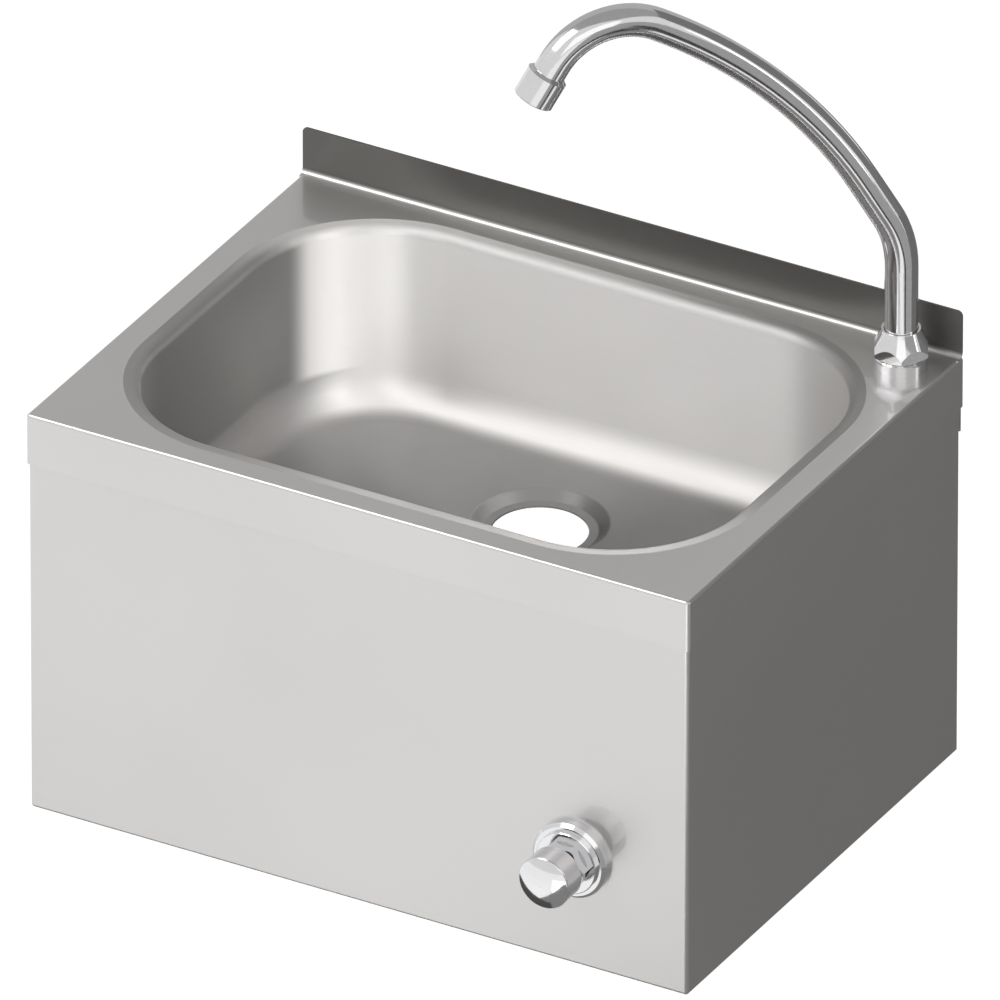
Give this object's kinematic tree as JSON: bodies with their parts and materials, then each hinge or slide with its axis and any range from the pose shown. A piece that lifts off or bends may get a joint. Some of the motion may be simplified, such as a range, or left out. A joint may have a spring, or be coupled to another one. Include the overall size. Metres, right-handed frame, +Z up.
{
  "type": "wall-hung hand wash basin",
  "caption": "Wall-hung stainless steel hand wash basin with a rounded bowl, low splashback, swivelling gooseneck spout and a self-closing push button on its front panel.",
  "frame": {"origin": "on the wall plane, midway between the two upper wall fixing holes, 24 mm below the deck", "axes": "+Z up, +Y into the wall, -Y out to the user, +X to the right as the user faces the basin"},
  "size_m": [0.4, 0.3288, 0.4814],
  "materials": {
    "satin_steel": "fine satin stainless sheet",
    "polished_chrome": "polished chrome on brass or steel",
    "brass": "turned bare brass",
    "nickel_plate": "dull nickel plating on cast brass",
    "steel_fittings": "plain drawn or turned stainless steel",
    "black_rubber": "black nitrile rubber",
    "white_plastic": "white acetal"
  },
  "bodies": {
    "sink": {"deck_plate": "satin_steel", "bowl": "satin_steel", "housing_panel": "satin_steel", "wall_rail": "satin_steel", "tap_pillar": "polished_chrome", "collar_gasket": "black_rubber", "deck_rubber_washer": "black_rubber", "deck_steel_washer": "steel_fittings", "tap_backnut": "brass", "spout_nut": "polished_chrome", "lower_slip_ring": "white_plastic", "valve_body": "nickel_plate", "inlet_strainer": "steel_fittings", "panel_gasket": "black_rubber", "valve_escutcheon": "polished_chrome", "valve_lock_ring": "polished_chrome", "valve_cartridge": "polished_chrome", "cartridge_o_rings": "black_rubber", "valve_rear_cap": "brass", "return_spring": "steel_fittings", "feed_pipe": "steel_fittings", "lower_feed_nut": "brass", "upper_feed_nut": "brass", "lower_feed_seal": "black_rubber", "upper_feed_seal": "black_rubber"},
    "spout": {"spout_tube": "polished_chrome", "spout_tail": "brass", "spout_o_rings": "black_rubber", "upper_slip_ring": "white_plastic", "outlet_bush": "brass", "aerator_housing": "polished_chrome", "aerator_insert": "white_plastic", "aerator_seal": "black_rubber"},
    "button": {"push_button": "polished_chrome", "button_stem": "steel_fittings", "timing_piston": "brass", "piston_seal": "black_rubber", "valve_disc": "black_rubber", "disc_holder": "brass", "disc_nut": "steel_fittings"}
  },
  "joints": [
    {"name": "spout_swivel", "type": "hinge", "parent": "sink", "child": "spout", "pos_m": [0.176, -0.024, 0.024], "axis": [0, 0, 1], "range_deg": [-45, 135]},
    {"name": "button_press", "type": "slide", "parent": "sink", "child": "button", "axis": [0, 1, 0], "range_m": [0, 0.008], "stiffness_N_per_m": 1900, "springref_m": -0.005, "deforming": ["return_spring"]}
  ]
}
